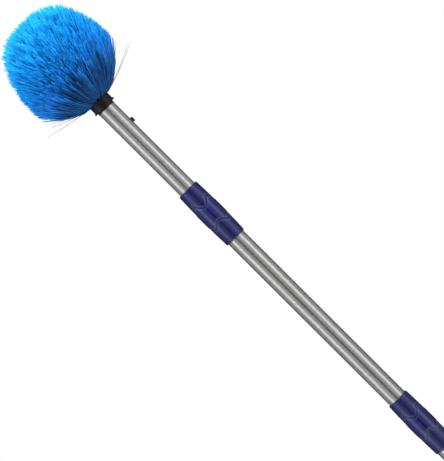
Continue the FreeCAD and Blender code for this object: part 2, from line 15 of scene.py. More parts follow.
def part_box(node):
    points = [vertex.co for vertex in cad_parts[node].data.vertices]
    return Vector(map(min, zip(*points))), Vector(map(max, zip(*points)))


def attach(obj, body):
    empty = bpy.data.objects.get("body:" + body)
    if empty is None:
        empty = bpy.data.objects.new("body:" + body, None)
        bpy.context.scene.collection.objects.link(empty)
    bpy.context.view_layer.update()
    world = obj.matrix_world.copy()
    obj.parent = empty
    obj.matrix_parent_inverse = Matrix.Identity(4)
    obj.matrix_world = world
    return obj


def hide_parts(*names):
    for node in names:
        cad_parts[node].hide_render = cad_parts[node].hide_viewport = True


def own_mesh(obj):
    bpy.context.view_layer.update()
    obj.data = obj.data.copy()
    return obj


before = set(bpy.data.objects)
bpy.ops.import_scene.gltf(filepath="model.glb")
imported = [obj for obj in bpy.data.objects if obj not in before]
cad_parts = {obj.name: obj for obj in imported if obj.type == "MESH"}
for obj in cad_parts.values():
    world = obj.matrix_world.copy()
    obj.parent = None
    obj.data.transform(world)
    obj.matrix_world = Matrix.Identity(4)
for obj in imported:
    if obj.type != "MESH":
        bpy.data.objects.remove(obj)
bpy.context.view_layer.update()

bl_info = {
    "name": "Cobweb brush",
    "version": (1, 0, 0),
    "blender": (4, 5, 0),
    "location": "3D View > Sidebar > Brush",
    "description": "Builds the looks of a cobweb brush on a telescopic pole",
    "category": "Object",
}

MM = 0.001
FULL_TURN = 2 * math.pi

# edges that turn more than these are shaded as sharp, and are rounded on a softened piece
SHARP_EDGE = math.radians(38.0)
ROUNDED_EDGE = math.radians(40.0)
# faces that turn less than this lie in one flat face
FLAT_TURN = math.radians(0.5)
# corners closer than these are one corner, along a lathe's seam and in a copied mesh
SEAM_GAP = 1e-7
WELD_GAP = 1e-6
# height of the finest relief on metal and plastic
FINE_RELIEF = 0.05 * MM

# places of the share, the two colours and the result among the sockets of a mix node
MIX_SHARE = 0
MIX_FIRST = 6
MIX_SECOND = 7
MIX_RESULT = 2

# outer radius of each tube
TUBE_RADIUS = {"handle_tube": 13.0 * MM, "middle_tube": 12.4 * MM, "upper_tube": 11.8 * MM}

# ring of tufts: node, angle off the pole's axis in degrees, tufts in the ring, locks in a tuft,
# and the share of the way to the bush's outline that its shortest locks reach
TUFT_RINGS = (
    ("tuft_crown", 0.0, 1, 560, 0.82),
    ("tuft_ring_first", 18.5, 6, 300, 0.80),
    ("tuft_ring_second", 37.0, 11, 165, 0.66),
    ("tuft_ring_third", 55.5, 16, 114, 0.62),
    ("tuft_ring_outer", 74.0, 18, 102, 0.78),
)

# share of the usual opening that tufts have by their angle off the pole's axis: the inner ones open wider
TUFT_ANGLES = (math.radians(37.0), math.radians(55.5))
TUFT_OPENINGS = (1.22, 1.0)

# points of a strand as shares of its length, closer together where the root bends, and its taper by share
STRAND_SHARES = (0.0, 0.09, 0.25, 0.6, 1.0)
TAPER_SHARES = (0.0, 0.25, 1.0)
TAPER_WIDTHS = (0.45, 1.0, 0.8)

# long filament: bearing in degrees, then its tip's way out from the axis and up from the tube's end in mm
LONG_FILAMENTS = (
    (-1.5, 77.0, 36.7),
    (2.0, 75.0, 38.9),
    (4.0, 68.5, 53.5),
    (46.0, 72.0, 33.0),
    (88.0, 75.0, 29.0),
    (134.0, 70.0, 37.0),
    (176.0, 64.7, 32.3),
    (181.5, 74.0, 26.3),
    (187.0, 61.5, 34.5),
)

# brightness of the room's walls: share of the half turn from front to back, and the level there
ROOM_WALLS = (
    (0.0, 0.0), (0.032, 0.0), (0.07, 0.26), (0.19, 0.28), (0.29, 0.84),
    (0.335, 0.95), (0.375, 0.84), (0.44, 0.30), (0.50, 0.25), (0.62, 0.20),
    (0.71, 0.13), (0.78, 0.02), (0.88, 0.02), (0.93, 0.45), (1.0, 0.55),
)

# places of the soft lights and of the middle of the head that they face
LEFT_PLACE = Vector((-0.7, -0.5, 1.6))
RIGHT_PLACE = Vector((0.7, -0.5, 1.6))
BACK_PLACE = Vector((0.0, 0.85, 1.6))
HEAD_MIDDLE = Vector((0.0, 0.0, 1.08))

# middle of the picture, and the direction that points up in it: the pole leans across the picture
PICTURE_MIDDLE = Vector((-0.0058, 0.0, 0.8082))
PICTURE_UP = Vector((1.0034, 0.0, 1.0))


class PoleSettings(bpy.types.PropertyGroup):
    """Finish of the steel tubes and the twist sleeves."""

    steel_light: FloatVectorProperty(
        name="Steel, light", description="Bright streaks of the drawn steel",
        default=(0.96, 0.96, 0.95), subtype="COLOR", min=0, max=1)
    steel_dark: FloatVectorProperty(
        name="Steel, dark", description="Dull streaks of the drawn steel",
        default=(0.64, 0.64, 0.64), subtype="COLOR", min=0, max=1)
    navy: FloatVectorProperty(
        name="Navy plastic", description="Colour of the sleeves and the end cap",
        default=(0.004, 0.004, 0.105), subtype="COLOR", min=0, max=1)
    recess_depth: FloatProperty(
        name="Recess depth", description="Depth of the thumb recesses",
        default=0.35 * MM, unit="LENGTH", precision=5)
    recess_tip: FloatProperty(
        name="Recess tip", description="Radius of a recess's tip",
        default=4.0 * MM, unit="LENGTH", precision=5)
    upper_reach: FloatProperty(
        name="Upper recess reach", description="Reach of a recess from the sleeve's upper end",
        default=31.0 * MM, unit="LENGTH", precision=5)
    upper_slope: FloatProperty(
        name="Upper recess slope", description="Angle that the sides of an upper recess fall away with",
        default=math.radians(52.0), subtype="ANGLE")
    lower_reach: FloatProperty(
        name="Lower recess reach", description="Reach of a recess from the sleeve's lower end",
        default=30.4 * MM, unit="LENGTH", precision=5)
    lower_slope: FloatProperty(
        name="Lower recess slope", description="Angle that the sides of a lower recess fall away with",
        default=math.radians(46.0), subtype="ANGLE")
    recess_count: IntProperty(
        name="Recesses", description="Thumb recesses around each end of a sleeve", default=4, min=2, max=8)
    sleeve_end_radius: FloatProperty(
        name="Sleeve end radius", description="Radius of a sleeve at its ends",
        default=14.5 * MM, unit="LENGTH", precision=5)
    sleeve_belly: FloatProperty(
        name="Sleeve belly", description="How far the barrel swells between its ends",
        default=0.95 * MM, unit="LENGTH", precision=5)


class HeadSettings(bpy.types.PropertyGroup):
    """Sizes and colours of the bristle head."""

    seed: IntProperty(name="Seed", description="Arrangement of the bristles", default=11, min=0)
    strands_per_lock: IntProperty(
        name="Strands per lock", description="Strands that lie together in a lock", default=3, min=1, max=20)
    strand_radius: FloatProperty(
        name="Strand radius", description="Usual radius of a strand where it is thickest",
        default=0.31 * MM, unit="LENGTH", precision=5)
    tuft_spread: FloatProperty(
        name="Tuft spread", description="Half angle that a tuft of the outer rings opens to",
        default=math.radians(10.4), subtype="ANGLE")
    fan_up: FloatProperty(
        name="Fan centre", description="Centre that the tufts point from, above the block's foot",
        default=7.0 * MM, unit="LENGTH", precision=5)
    root_reach: FloatProperty(
        name="Root distance", description="Root of a tuft from the fan centre",
        default=9.0 * MM, unit="LENGTH", precision=5)
    root_radius: FloatProperty(
        name="Root radius", description="Radius of a tuft at its root",
        default=0.8 * MM, unit="LENGTH", precision=5)
    widest_up: FloatProperty(
        name="Widest place", description="Widest place of the bush above the fan centre",
        default=45.0 * MM, unit="LENGTH", precision=5)
    forward_bend: FloatProperty(
        name="Forward bend", description="How far the outermost strands curve towards the axis",
        default=math.radians(66.0), subtype="ANGLE")
    bend_length: FloatProperty(
        name="Bend length", description="Length in which most of that curve happens",
        default=22.0 * MM, unit="LENGTH", precision=5)
    rim_droop: FloatProperty(
        name="Rim droop", description="How far the outermost roots lean down to the cup's rim",
        default=math.radians(14.0), subtype="ANGLE")
    side_lean: FloatProperty(
        name="Side lean", description="How much more the strands on the +X side curve forward",
        default=0.08, min=-0.3, max=0.3)
    # painted light: the root colour is lighter than the middle one to lift the roots' shade, and the upper
    # and tip colours are lighter where the light falls on the top
    root_painted_light_blue: FloatVectorProperty(
        name="Root blue", description="Bristle colour in the lower third of the bush",
        default=(0.042, 0.268, 0.79), subtype="COLOR", min=0, max=1)
    middle_blue: FloatVectorProperty(
        name="Middle blue", description="Bristle colour a little over half way up",
        default=(0.0080, 0.140, 0.415), subtype="COLOR", min=0, max=1)
    upper_painted_light_blue: FloatVectorProperty(
        name="Upper blue", description="Bristle colour three quarters of the way up",
        default=(0.0080, 0.226, 0.550), subtype="COLOR", min=0, max=1)
    tip_painted_light_blue: FloatVectorProperty(
        name="Tip blue", description="Bristle colour at the bush's surface",
        default=(0.011, 0.295, 0.59), subtype="COLOR", min=0, max=1)
    body_value: FloatProperty(
        name="Strand value", description="Brightness of a strand below its tip", default=0.78, min=0, max=3)
    # painted highlight: a strand's tip is brightened as if it caught the light
    tip_highlight_value: FloatProperty(
        name="Tip value", description="Brightness of a strand's split tip", default=1.75, min=0, max=3)
    filament_radius: FloatProperty(
        name="Filament radius", description="Radius of the long clear filaments",
        default=0.42 * MM, unit="LENGTH", precision=5)


class StageSettings(bpy.types.PropertyGroup):
    """Floor, light and camera."""

    lens: FloatProperty(
        name="Lens", description="Focal length of the camera", default=250.0, min=50, unit="CAMERA")
    field: FloatProperty(
        name="Field", description="Height of the camera's field at the object", default=0.5532, unit="LENGTH")
    floor_radius: FloatProperty(
        name="Floor radius", description="Radius of the floor", default=0.95, unit="LENGTH")
    left_power: FloatProperty(
        name="Left light", description="Power of the soft light left of the head",
        default=8.6, unit="POWER")
    right_power: FloatProperty(
        name="Right light", description="Power of the soft light right of the head",
        default=10.4, unit="POWER")
    back_power: FloatProperty(
        name="Back light", description="Power of the soft light behind the head",
        default=7.0, unit="POWER")
    room_strength: FloatProperty(
        name="Room light", description="Strength of the light round the studio", default=0.98, min=0)


SETTINGS = {"brush_pole": PoleSettings, "brush_head": HeadSettings, "brush_stage": StageSettings}


def pole_settings():
    """The settings of the tubes and sleeves."""
    return bpy.context.scene.brush_pole


def head_settings():
    """The settings of the bristle head."""
    return bpy.context.scene.brush_head


def add_node(tree, kind, **values):
    """A new node with some of its own values set."""
    node = tree.nodes.new(kind)
    for name, value in values.items():
        setattr(node, name, value)
    return node


def feed(tree, socket, value):
    """Gives an input the output of another node, or a value of its own."""
    if isinstance(value, bpy.types.NodeSocket):
        tree.links.new(value, socket)
    else:
        socket.default_value = value


def feed_named(tree, node, values):
    """Feeds a node's inputs by their names."""
    for label, value in values.items():
        feed(tree, node.inputs[label], value)


def opaque(colour):
    """A colour with full alpha; a socket stays as it is."""
    return colour if isinstance(colour, bpy.types.NodeSocket) else (*colour, 1.0)


def add_math(tree, operation, *values):
    """The result of a math node; each value is a socket or a number."""
    node = add_node(tree, "ShaderNodeMath", operation=operation)
    for socket, value in zip(node.inputs, values):
        feed(tree, socket, value)
    return node.outputs["Value"]


def add_noise(tree, vector, scale=1.0, detail=2.0, roughness=0.5):
    """The value of a noise texture, from 0 to 1."""
    node = add_node(tree, "ShaderNodeTexNoise")
    feed_named(tree, node, {"Vector": vector, "Scale": scale, "Detail": detail, "Roughness": roughness})
    return node.outputs["Fac"]


def add_span(tree, value, span, result=(0.0, 1.0)):
    """A value moved from one span to another, and kept in it."""
    node = add_node(tree, "ShaderNodeMapRange")
    feed_named(tree, node, {"Value": value, "From Min": span[0], "From Max": span[1],
                            "To Min": result[0], "To Max": result[1]})
    return node.outputs["Result"]


def add_mix(tree, share, first, second, blend="MIX"):
    """A mix of two colours; each is a socket or a colour."""
    node = add_node(tree, "ShaderNodeMix", data_type="RGBA", blend_type=blend)
    feed(tree, node.inputs[MIX_SHARE], share)
    feed(tree, node.inputs[MIX_FIRST], opaque(first))
    feed(tree, node.inputs[MIX_SECOND], opaque(second))
    return node.outputs[MIX_RESULT]


def add_tint(tree, mask, weight, base, tint):
    """A base colour that goes a share of the way to a tint where a mask is 1."""
    return add_mix(tree, add_math(tree, "MULTIPLY", mask, weight), base, tint)


def add_ramp(tree, value, stops):
    """The colour of a ramp; stops are pairs of a place and a colour."""
    node = add_node(tree, "ShaderNodeValToRGB")
    tree.links.new(value, node.inputs["Fac"])
    elements = node.color_ramp.elements
    while len(elements) < len(stops):
        elements.new(1.0)
    for element, (place, colour) in zip(elements, stops):
        element.position = place
        element.color = opaque(colour)
    return node.outputs["Color"]


def add_attribute(tree, name):
    """The value of an attribute of the piece."""
    return add_node(tree, "ShaderNodeAttribute", attribute_name=name).outputs["Fac"]


def object_vector(tree, scale=(1.0, 1.0, 1.0)):
    """Object coordinates, stretched by a scale."""
    place = add_node(tree, "ShaderNodeTexCoord")
    mapping = add_node(tree, "ShaderNodeMapping")
    mapping.inputs["Scale"].default_value = scale
    tree.links.new(place.outputs["Object"], mapping.inputs["Vector"])
    return mapping.outputs["Vector"]


def new_group(name, scales, results):
    """A shader node group with a vector, named scales and results, and its sockets seen from inside."""
    group = bpy.data.node_groups.new(name, "ShaderNodeTree")
    group.interface.new_socket("Vector", in_out="INPUT", socket_type="NodeSocketVector")
    for label in scales:
        group.interface.new_socket(label, in_out="INPUT", socket_type="NodeSocketFloat")
    for label in results:
        group.interface.new_socket(label, in_out="OUTPUT", socket_type="NodeSocketFloat")
    return group, add_node(group, "NodeGroupInput").outputs, add_node(group, "NodeGroupOutput").inputs


def handling_marks():
    """Soft smudges and short fine scuffs, as on anything that is gripped and leant on walls."""
    name = "handling_marks"
    if name in bpy.data.node_groups:
        return bpy.data.node_groups[name]
    smudge_span = (0.42, 0.68)
    scuff_span = (0.66, 0.72)
    group, given, result = new_group(name, ("Smudge Scale", "Scuff Scale"), ("Smudge", "Scuff"))
    smudge = add_noise(group, given["Vector"], given["Smudge Scale"], detail=4.0, roughness=0.6)
    group.links.new(add_span(group, smudge, smudge_span), result["Smudge"])
    scuff = add_noise(group, given["Vector"], given["Scuff Scale"], detail=1.0)
    sharp = add_span(group, scuff, scuff_span)
    group.links.new(add_math(group, "MULTIPLY", sharp, smudge), result["Scuff"])
    return group


def moulded_skin():
    """Fine spark-eroded grain and faint flow marks of moulded plastic."""
    name = "moulded_skin"
    if name in bpy.data.node_groups:
        return bpy.data.node_groups[name]
    flow_span = (0.35, 0.65)
    group, given, result = new_group(name, ("Grain Scale", "Flow Scale"), ("Grain", "Flow"))
    grain = add_noise(group, given["Vector"], given["Grain Scale"], detail=3.0, roughness=0.6)
    group.links.new(grain, result["Grain"])
    flow = add_noise(group, given["Vector"], given["Flow Scale"])
    group.links.new(add_span(group, flow, flow_span), result["Flow"])
    return group


def place_group(tree, group, vector, **values):
    """The outputs of a node that holds a group, with its inputs set; underscores stand for spaces."""
    node = add_node(tree, "ShaderNodeGroup", node_tree=group)
    tree.links.new(vector, node.inputs["Vector"])
    for label, value in values.items():
        node.inputs[label.replace("_", " ")].default_value = value
    return node.outputs


def new_material(name):
    """A new material, its node tree and its shader."""
    material = bpy.data.materials.new(name)
    material.use_nodes = True
    return material, material.node_tree, material.node_tree.nodes["Principled BSDF"]


def link_bump(tree, shader, height, strength):
    """Joins a height to the shader's normal through a fine bump."""
    bump = add_node(tree, "ShaderNodeBump")
    feed_named(tree, bump, {"Strength": strength, "Distance": FINE_RELIEF, "Height": height})
    tree.links.new(bump.outputs["Normal"], shader.inputs["Normal"])


def metal_finish(name, light, dark, rough, streak_scale, mottle_scale, metal=1.0):
    """Drawn metal: streaks along Z, a fine mottle, smudges that dull it and fine scuffs."""
    if name in bpy.data.materials:
        return bpy.data.materials[name]
    mottle_weight = 1.3
    blotch_span = (0.25, 0.75)
    scuff_weight = 0.3
    smudge_dulling = 0.06
    blotch_dulling = 0.08
    bump_strength = 0.15
    material, tree, shader = new_material(name)
    streaks = add_noise(tree, object_vector(tree, streak_scale), detail=3.0, roughness=0.6)
    mottle = add_noise(tree, object_vector(tree, mottle_scale), roughness=0.7)
    marks = place_group(tree, handling_marks(), object_vector(tree), Smudge_Scale=45.0, Scuff_Scale=700.0)
    centred = add_math(tree, "SUBTRACT", mottle, 0.5)
    blotch = add_math(tree, "MULTIPLY_ADD", centred, mottle_weight, streaks)
    colour = add_mix(tree, add_span(tree, blotch, blotch_span), dark, light)
    scuffed = add_tint(tree, marks["Scuff"], scuff_weight, colour, dark)
    dulled = add_math(tree, "MULTIPLY_ADD", marks["Smudge"], smudge_dulling, rough)
    streaked = add_math(tree, "MULTIPLY_ADD", blotch, blotch_dulling, dulled)
    feed_named(tree, shader, {"Base Color": scuffed, "Metallic": metal, "Roughness": streaked})
    link_bump(tree, shader, blotch, bump_strength)
    return material


def plastic_finish(name, colour, paler, rough, grain_scale, bump):
    """Moulded plastic with faint flow marks, fine grain, dull smudges and pale scuffs."""
    if name in bpy.data.materials:
        return bpy.data.materials[name]
    flow_weight = 0.35
    scuff_weight = 0.5
    smudge_dulling = 0.1
    material, tree, shader = new_material(name)
    vector = object_vector(tree)
    skin = place_group(tree, moulded_skin(), vector, Grain_Scale=grain_scale, Flow_Scale=60.0)
    marks = place_group(tree, handling_marks(), vector, Smudge_Scale=70.0, Scuff_Scale=900.0)
    base = add_tint(tree, skin["Flow"], flow_weight, colour, paler)
    worn = add_tint(tree, marks["Scuff"], scuff_weight, base, paler)
    dulled = add_math(tree, "MULTIPLY_ADD", marks["Smudge"], smudge_dulling, rough)
    feed_named(tree, shader, {"Base Color": worn, "Roughness": dulled})
    link_bump(tree, shader, skin["Grain"], bump)
    return material


def steel_finish():
    """Bright drawn steel of the three tubes."""
    pole = pole_settings()
    return metal_finish("drawn_steel", pole.steel_light, pole.steel_dark, rough=0.14, metal=0.9,
                        streak_scale=(900.0, 900.0, 14.0), mottle_scale=(650.0, 650.0, 280.0))


def plated_finish():
    """Dull zinc plating of the screw and the tuft anchors."""
    return metal_finish("zinc_plating", light=(0.62, 0.62, 0.58), dark=(0.42, 0.42, 0.40), rough=0.35,
                        streak_scale=(500.0, 500.0, 500.0), mottle_scale=(900.0, 900.0, 900.0))


def spring_finish():
    """Blued strip of the button's spring."""
    return metal_finish("spring_strip", light=(0.36, 0.37, 0.42), dark=(0.22, 0.22, 0.26), rough=0.28,
                        streak_scale=(300.0, 1200.0, 40.0), mottle_scale=(700.0, 700.0, 300.0))


def navy_finish():
    """Satin navy plastic with a bluish sheen, painted shade that darkens and dulls the recess grooves and
    floors, and a painted highlight beside the recess edges.
    """
    name = "navy_plastic_skin"
    if name in bpy.data.materials:
        return bpy.data.materials[name]
    # painted highlight: the paler colour of the bands beside each recess edge
    painted_highlight_colour = (0.16, 0.16, 0.36)
    painted_highlight_weight = 0.35
    # painted shade: the near-black that the recess grooves and floors go towards
    painted_shade_colour = (0.0, 0.0, 0.02)
    painted_shade_weight = 0.7
    recess_dulling = 0.3
    material = plastic_finish(name, pole_settings().navy, paler=(0.010, 0.010, 0.135), rough=0.19,
                              grain_scale=2600.0, bump=0.06)
    tree = material.node_tree
    shader = tree.nodes["Principled BSDF"]
    # painted shade: darker and duller in the recess grooves, and a little in the recess floors
    line = add_attribute(tree, "recess_painted_shade")
    # painted highlight: bands beside the recess edges
    painted_highlight_mask = add_attribute(tree, "recess_painted_highlight")
    colour = shader.inputs["Base Color"].links[0].from_socket
    highlit_colour = add_tint(tree, painted_highlight_mask, painted_highlight_weight, colour, painted_highlight_colour)
    shaded_colour = add_tint(tree, line, painted_shade_weight, highlit_colour, painted_shade_colour)
    rough = shader.inputs["Roughness"].links[0].from_socket
    dulled = add_math(tree, "MULTIPLY_ADD", line, recess_dulling, rough)
    feed_named(tree, shader, {"Base Color": shaded_colour, "Roughness": dulled, "IOR": 1.8,
                              "Specular IOR Level": 1.0, "Specular Tint": (0.60, 0.62, 1.0, 1.0)})
    return material


def black_finish():
    """Matt black plastic of the collar, the block and the button."""
    material = plastic_finish("black_plastic_skin", colour=(0.006, 0.006, 0.008), paler=(0.016, 0.015, 0.017),
                              rough=0.36, grain_scale=900.0, bump=0.3)
    material.node_tree.nodes["Principled BSDF"].inputs["Specular IOR Level"].default_value = 0.7
    return material


def nylon_finish():
    """Pale natural nylon of the guide feet and the brake shoes."""
    return plastic_finish("pale_nylon_skin", colour=(0.72, 0.70, 0.63), paler=(0.80, 0.79, 0.74), rough=0.42,
                          grain_scale=1500.0, bump=0.12)


def bristle_finish():
    """Blue bristle strands with painted light: deepest half way out, painted lighter at the roots to lift
    their shade and towards the top where the light falls, a painted highlight at each strand's tip, each
    strand a little different.
    """
    name = "bristle_strands"
    if name in bpy.data.materials:
        return bpy.data.materials[name]
    head = head_settings()
    tip_highlight_span = (0.78, 1.0)
    tone_values = (0.4, 1.6)
    tone_roughness = (0.55, 0.38)
    # painted light along the reach from the fan centre: lighter roots and a lighter top
    painted_light_blues = ((0.35, head.root_painted_light_blue), (0.60, head.middle_blue), (0.76, head.upper_painted_light_blue), (0.95, head.tip_painted_light_blue))
    material, tree, shader = new_material(name)
    tone = add_attribute(tree, "strand_tone")
    # painted highlight: each strand brightens over its last part towards its tip
    lit = add_span(tree, add_attribute(tree, "strand_along"), tip_highlight_span, (head.body_value, head.tip_highlight_value))
    own = add_span(tree, tone, (0.0, 1.0), tone_values)
    blue = add_ramp(tree, add_attribute(tree, "strand_reach"), painted_light_blues)
    shade = add_node(tree, "ShaderNodeHueSaturation")
    feed_named(tree, shade, {"Color": blue, "Value": add_math(tree, "MULTIPLY", lit, own)})
    rough = add_span(tree, tone, (0.0, 1.0), tone_roughness)
    feed_named(tree, shader, {"Base Color": shade.outputs["Color"], "Roughness": rough,
                              "Specular IOR Level": 0.1})
    return material


def link_cloud(tree, shader, cloud, colours, roughness):
    """Lets a soft noise move the shader's colour between two colours and its roughness between two values."""
    cloud_span = (0.3, 0.7)
    feed_named(tree, shader, {"Base Color": add_mix(tree, cloud, *colours),
                              "Roughness": add_span(tree, cloud, cloud_span, roughness)})


def clear_finish():
    """Clear nylon of the long filaments."""
    material, tree, shader = new_material("clear_filaments")
    cloud = add_noise(tree, object_vector(tree), scale=60.0)
    link_cloud(tree, shader, cloud, colours=((0.80, 0.77, 0.74), (0.92, 0.89, 0.86)), roughness=(0.18, 0.34))
    feed_named(tree, shader, {"Transmission Weight": 0.4, "IOR": 1.53})
    return material


def floor_finish():
    """Pale matt floor with a faint mottle."""
    material, tree, shader = new_material("pale_floor")
    mottle = add_noise(tree, object_vector(tree), scale=6.0, detail=3.0)
    link_cloud(tree, shader, mottle, colours=((0.86, 0.86, 0.86), (0.9, 0.9, 0.9)), roughness=(0.7, 0.8))
    return material


def add_object(name, data):
    """A new object in the scene."""
    thing = bpy.data.objects.new(name, data)
    bpy.context.scene.collection.objects.link(thing)
    return thing


def show_piece(name, mesh, material, body, node):
    """Puts a finished mesh in the scene, on its body and in place of its node."""
    mesh.materials.clear()
    mesh.materials.append(material)
    piece = add_object(name, mesh)
    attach(piece, body)
    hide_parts(node)
    return piece


def dress_node(node, material):
    """Gives a piece that keeps its solid a finish."""
    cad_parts[node].material_slots[0].material = material


def lathe_loop(bm, outline):
    """A closed loop of edges in the XZ plane through (radius, height) corners."""
    corners = [bm.verts.new((radius, 0.0, height)) for radius, height in outline]
    pairs = zip(corners, corners[1:] + corners[:1])
    return [bm.edges.new(pair) for pair in pairs]


def spin_loop(bm, edges, steps):
    """Turns a loop of edges into a closed ring about Z."""
    loop = list({vert for edge in edges for vert in edge.verts}) + list(edges)
    bmesh.ops.spin(bm, geom=loop, cent=(0, 0, 0), axis=(0, 0, 1), angle=FULL_TURN, steps=steps,
                   use_merge=True, use_duplicate=False)
    bmesh.ops.remove_doubles(bm, verts=bm.verts, dist=SEAM_GAP)
    bmesh.ops.recalc_face_normals(bm, faces=bm.faces)


def finish_mesh(bm, name):
    """The mesh of a bmesh, smooth but for its sharp edges."""
    for face in bm.faces:
        face.smooth = True
    for edge in bm.edges:
        edge.smooth = len(edge.link_faces) == 2 and edge.calc_face_angle() < SHARP_EDGE
    mesh = bpy.data.meshes.new(name)
    bm.to_mesh(mesh)
    bm.free()
    return mesh


def smooth_step(value, low, high):
    """0 below low, 1 above high and a smooth rise between them."""
    share = min(max((value - low) / (high - low), 0.0), 1.0)
    return share * share * (3 - 2 * share)


def soft_band(value, middle, width):
    """1 at a middle, falling softly to 0 on both sides of it."""
    return math.exp(-((value - middle) / width) ** 2)


def recess_change(across, from_end, reach, slope, pole):
    """How far a pointed thumb recess moves the surface in at a place, its painted shade, full in the groove
    and faint on the floor, and its painted highlight beside the edge.
    """
    fall = math.tan(slope)
    spread = math.hypot(pole.recess_tip, fall * across)
    border = reach - spread + pole.recess_tip
    steepness = fall * fall * across / spread
    inward = (border - from_end) / math.hypot(1.0, steepness)
    floor = smooth_step(inward, low=-0.4 * MM, high=0.7 * MM)
    groove = soft_band(inward, middle=0.6 * MM, width=0.7 * MM)
    # painted highlight: soft bands just outside and just inside the recess edge
    outer_highlight = soft_band(inward, middle=-1.2 * MM, width=0.7 * MM)
    inner_highlight = soft_band(inward, middle=2.4 * MM, width=0.8 * MM)
    groove_depth = 0.8
    # painted shade: the groove is darkened fully and the recess floor a little
    floor_shade_share = 0.3
    move = pole.recess_depth * (floor + groove_depth * groove)
    return move, max(floor_shade_share * floor, groove), max(outer_highlight, inner_highlight)


def sleeve_outline(foot, top, tube_radius, slider_radius, end_radius, rim):
    """Corners of a sleeve's section: rounded ends, a lip, the cam's room and the bead's groove."""
    bore = tube_radius + 0.15 * MM
    groove = tube_radius + 0.6 * MM
    room = tube_radius + 1.35 * MM
    lip = slider_radius + 0.1 * MM
    lip_foot = top - 9.0 * MM
    room_top = foot + 60.0 * MM
    room_foot = foot + 42.0 * MM
    groove_top = foot + 24.8 * MM
    groove_foot = foot + 19.2 * MM
    groove_slope = 0.6 * MM
    rim_steps = 4
    turns = [math.pi / 2 * step / rim_steps for step in range(rim_steps + 1)]
    top_rim = [(end_radius - rim + rim * math.cos(turn), top - rim + rim * math.sin(turn)) for turn in turns]
    foot_rim = [(radius, foot + top - height) for radius, height in reversed(top_rim)]
    inside = [
        (lip, top), (lip, lip_foot), (bore, lip_foot),
        (bore, room_top), (room, room_top), (room, room_foot), (bore, room_foot),
        (bore, groove_top), (groove, groove_top - groove_slope), (groove, groove_foot + groove_slope),
        (bore, groove_foot), (bore, foot),
    ]
    return top_rim + inside + foot_rim


def sleeve_mesh(name, foot, top, tube_radius, slider_radius):
    """A barrel sleeve with thumb recesses round both ends, and its bore."""
    pole = pole_settings()
    rim = 1.2 * MM
    barrel_cuts = 146
    steps_around = 240
    end_radius = pole.sleeve_end_radius
    bm = bmesh.new()
    edges = lathe_loop(bm, sleeve_outline(foot, top, tube_radius, slider_radius, end_radius, rim))
    bmesh.ops.subdivide_edges(bm, edges=edges[-1:], cuts=barrel_cuts)
    spin_loop(bm, bm.edges[:], steps_around)
    # painted shade of the recess grooves and floors, kept per vertex
    shade_layer = bm.verts.layers.float.new("recess_painted_shade")
    # painted highlight beside the recess edges, kept per vertex
    highlight_layer = bm.verts.layers.float.new("recess_painted_highlight")
    middle = (foot + top) / 2
    half = (top - foot) / 2
    sector = FULL_TURN / pole.recess_count
    for vert in bm.verts:
        radius = math.hypot(vert.co.x, vert.co.y)
        if radius < end_radius - rim + WELD_GAP:
            continue
        bearing = math.atan2(vert.co.y, vert.co.x)
        across = end_radius * abs(math.sin(bearing - round(bearing / sector) * sector))
        swell = pole.sleeve_belly * max(0.0, 1 - ((vert.co.z - middle) / half) ** 2)
        upper_move, upper_shade, upper_highlight = recess_change(
            across, top - vert.co.z, pole.upper_reach, pole.upper_slope, pole)
        lower_move, lower_shade, lower_highlight = recess_change(
            across, vert.co.z - foot, pole.lower_reach, pole.lower_slope, pole)
        vert[shade_layer] = max(upper_shade, lower_shade)
        vert[highlight_layer] = max(upper_highlight, lower_highlight)
        moved = (radius + swell - upper_move - lower_move) / radius
        vert.co.x *= moved
        vert.co.y *= moved
    return finish_mesh(bm, name)


def softened_piece(node, name, width, material, body):
    """Shows a copy of a node's mesh with its sharp edges rounded to a width."""
    bm = bmesh.new()
    bm.from_mesh(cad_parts[node].data)
    bmesh.ops.remove_doubles(bm, verts=bm.verts, dist=WELD_GAP)
    bmesh.ops.dissolve_limit(bm, angle_limit=FLAT_TURN, verts=bm.verts, edges=bm.edges)
    sharp = [edge for edge in bm.edges if edge.is_manifold and edge.calc_face_angle() > ROUNDED_EDGE]
    bmesh.ops.bevel(bm, geom=sharp, offset=width, affect="EDGES", segments=3, profile=0.5, material=-1,
                    clamp_overlap=True)
    bmesh.ops.recalc_face_normals(bm, faces=bm.faces)
    return show_piece(name, finish_mesh(bm, name), material, body, node)


class COBWEB_OT_tubes(bpy.types.Operator):
    """Gives the three steel tubes their drawn finish"""

    bl_idname = "cobweb.tubes"
    bl_label = "Steel tubes"

    def execute(self, context):
        for node in TUBE_RADIUS:
            dress_node(node, steel_finish())
        return {"FINISHED"}


class COBWEB_OT_sleeves(bpy.types.Operator):
    """Builds the two twist sleeves with their thumb recesses"""

    bl_idname = "cobweb.sleeves"
    bl_label = "Twist sleeves"

    def execute(self, context):
        sleeves = (("lower_twist_sleeve", "lower_sleeve", "handle_tube", "middle_tube"),
                   ("upper_twist_sleeve", "upper_sleeve", "middle_tube", "upper_tube"))
        for node, body, tube, slider in sleeves:
            low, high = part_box(node)
            name = node + "_barrel"
            mesh = sleeve_mesh(name, low.z, high.z, TUBE_RADIUS[tube], TUBE_RADIUS[slider])
            show_piece(name, mesh, navy_finish(), body, node)
        return {"FINISHED"}


class COBWEB_OT_collar(bpy.types.Operator):
    """Builds the black collar that carries the head, and the button that holds it"""

    bl_idname = "cobweb.collar"
    bl_label = "Head collar and button"

    def execute(self, context):
        softened_piece("head_socket", "head_collar", width=0.25 * MM, material=black_finish(),
                       body="upper_pole")
        softened_piece("snap_button", "spring_button", width=0.35 * MM, material=black_finish(),
                       body="button")
        return {"FINISHED"}


